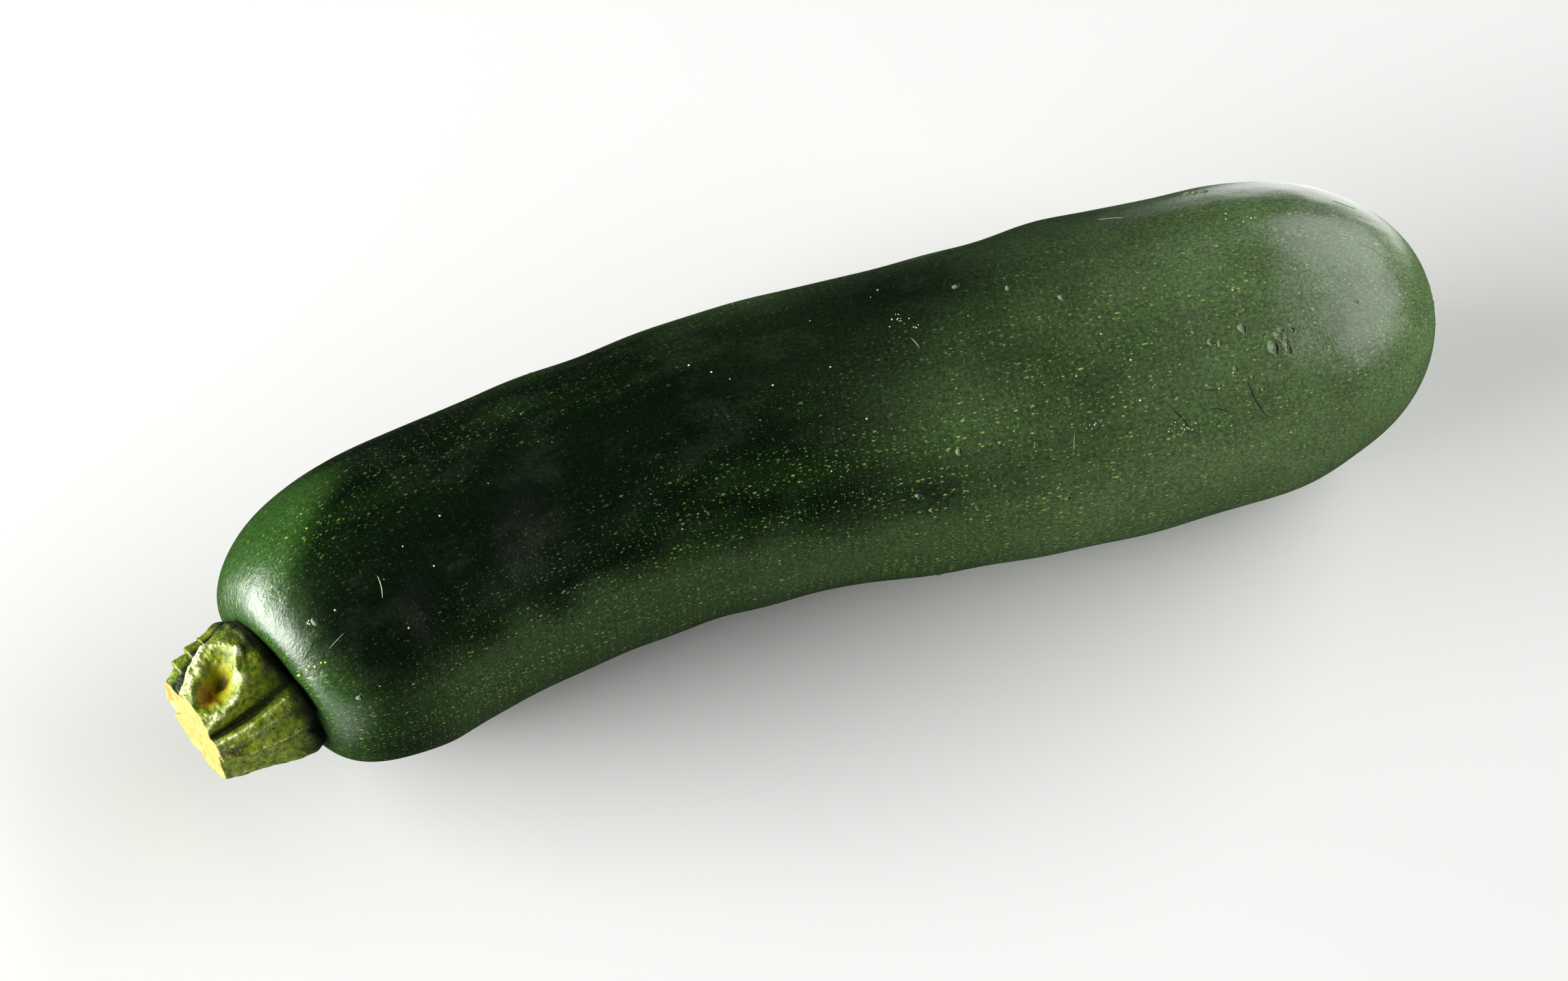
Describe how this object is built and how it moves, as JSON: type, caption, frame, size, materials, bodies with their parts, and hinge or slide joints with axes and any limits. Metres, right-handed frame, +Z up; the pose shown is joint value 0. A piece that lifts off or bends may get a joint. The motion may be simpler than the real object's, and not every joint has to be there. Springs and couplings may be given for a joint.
{
  "type": "vegetable marrow",
  "caption": "Whole young vegetable marrow (courgette) as picked, dark green and gently bent, with its short ridged cut stalk, lying on its flat belly.",
  "frame": {"origin": "middle of the base of the whole object's bounding box, on the surface that it lies on", "axes": "+X along the fruit from the stalk to the flower scar, +Z up, +Y completes a right-handed frame"},
  "size_m": [0.2271, 0.0624, 0.056],
  "materials": {
    "rind": "smooth waxy dark-green rind with fine pale flecks, satin gloss",
    "stalk": "ridged yellow-green stalk with corky crests and a pale cut face, dull"
  },
  "bodies": {
    "root": {"fruit": "rind", "stalk": "stalk"}
  },
  "joints": []
}
